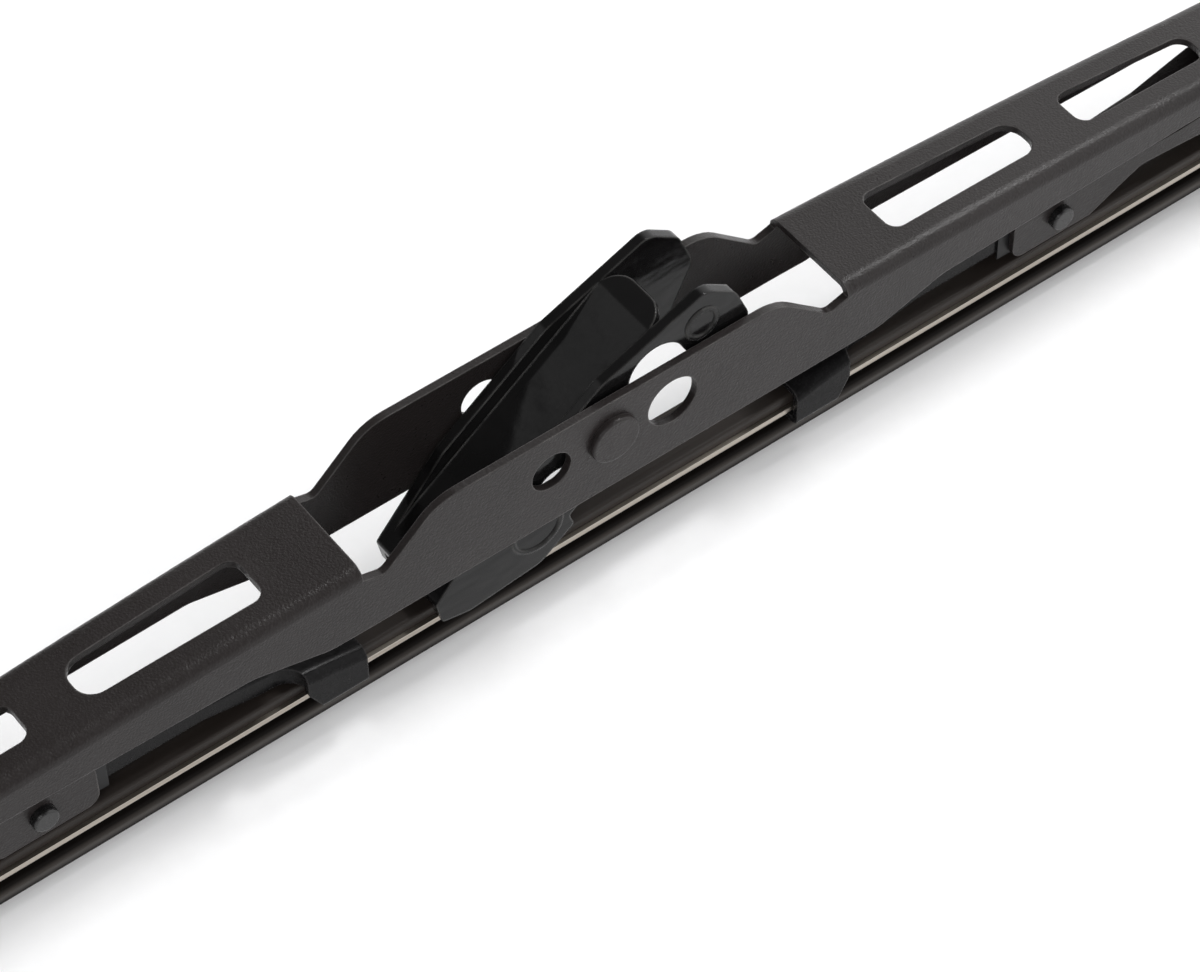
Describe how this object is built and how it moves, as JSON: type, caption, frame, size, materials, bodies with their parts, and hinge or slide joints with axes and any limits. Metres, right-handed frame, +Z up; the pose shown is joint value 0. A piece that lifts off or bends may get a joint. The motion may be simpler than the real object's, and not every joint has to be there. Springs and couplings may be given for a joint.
{
  "type": "wiper blade",
  "caption": "Framed windscreen wiper blade: arched steel bridge, rocking levers and yokes that clasp a rubber strip with steel rails, and a swinging adapter clip for a hook arm",
  "frame": {"origin": "axis of the cross rivet, half-way between the bridge's flanges", "axes": "+X along the blade, +Y across it, +Z up from the glass"},
  "size_m": [0.45, 0.019, 0.0483],
  "materials": {
    "coated_steel": "satin black powder coat",
    "rivet_steel": "satin black",
    "clip_plastic": "glossy black moulding",
    "liner_plastic": "dark grey, smooth",
    "rubber": "satin brownish black",
    "rail_steel": "bright strip, warm"
  },
  "bodies": {
    "clip": {"adapter_clip": "clip_plastic"},
    "bridge": {"main_bridge": "coated_steel", "pivot_rivet": "rivet_steel", "left_lever_rivet": "rivet_steel", "right_lever_rivet": "rivet_steel", "left_lever_liner": "liner_plastic", "right_lever_liner": "liner_plastic", "wiper_rubber": "rubber", "near_rail": "rail_steel", "far_rail": "rail_steel"},
    "left_lever": {"left_lever": "coated_steel", "left_yoke_rivet": "rivet_steel", "left_yoke_liner": "liner_plastic"},
    "left_yoke": {"left_yoke": "coated_steel"},
    "right_lever": {"right_lever": "coated_steel", "right_yoke_rivet": "rivet_steel", "right_yoke_liner": "liner_plastic"},
    "right_yoke": {"right_yoke": "coated_steel"}
  },
  "joints": [
    {"name": "adapter_pivot", "type": "hinge", "parent": "clip", "child": "bridge", "pos_m": [0, 0, 0], "axis": [0, -1, 0], "range_deg": [-3, 40]},
    {"name": "left_lever_pivot", "type": "hinge", "parent": "bridge", "child": "left_lever", "pos_m": [-0.13, 0, -0.012], "axis": [0, 1, 0], "range_deg": [-2.5, 2.5], "stiffness_Nm_per_rad": 1, "deforming": ["wiper_rubber", "near_rail", "far_rail"]},
    {"name": "left_yoke_pivot", "type": "hinge", "parent": "left_lever", "child": "left_yoke", "pos_m": [-0.0872, 0, -0.0151], "axis": [0, 1, 0], "range_deg": [-2.5, 2.5], "stiffness_Nm_per_rad": 1, "deforming": ["wiper_rubber", "near_rail", "far_rail"]},
    {"name": "right_lever_pivot", "type": "hinge", "parent": "bridge", "child": "right_lever", "pos_m": [0.125, 0, -0.012], "axis": [0, 1, 0], "range_deg": [-2.5, 2.5], "stiffness_Nm_per_rad": 1, "deforming": ["wiper_rubber", "near_rail", "far_rail"]},
    {"name": "right_yoke_pivot", "type": "hinge", "parent": "right_lever", "child": "right_yoke", "pos_m": [0.0822, 0, -0.0151], "axis": [0, 1, 0], "range_deg": [-2.5, 2.5], "stiffness_Nm_per_rad": 1, "deforming": ["wiper_rubber", "near_rail", "far_rail"]}
  ]
}
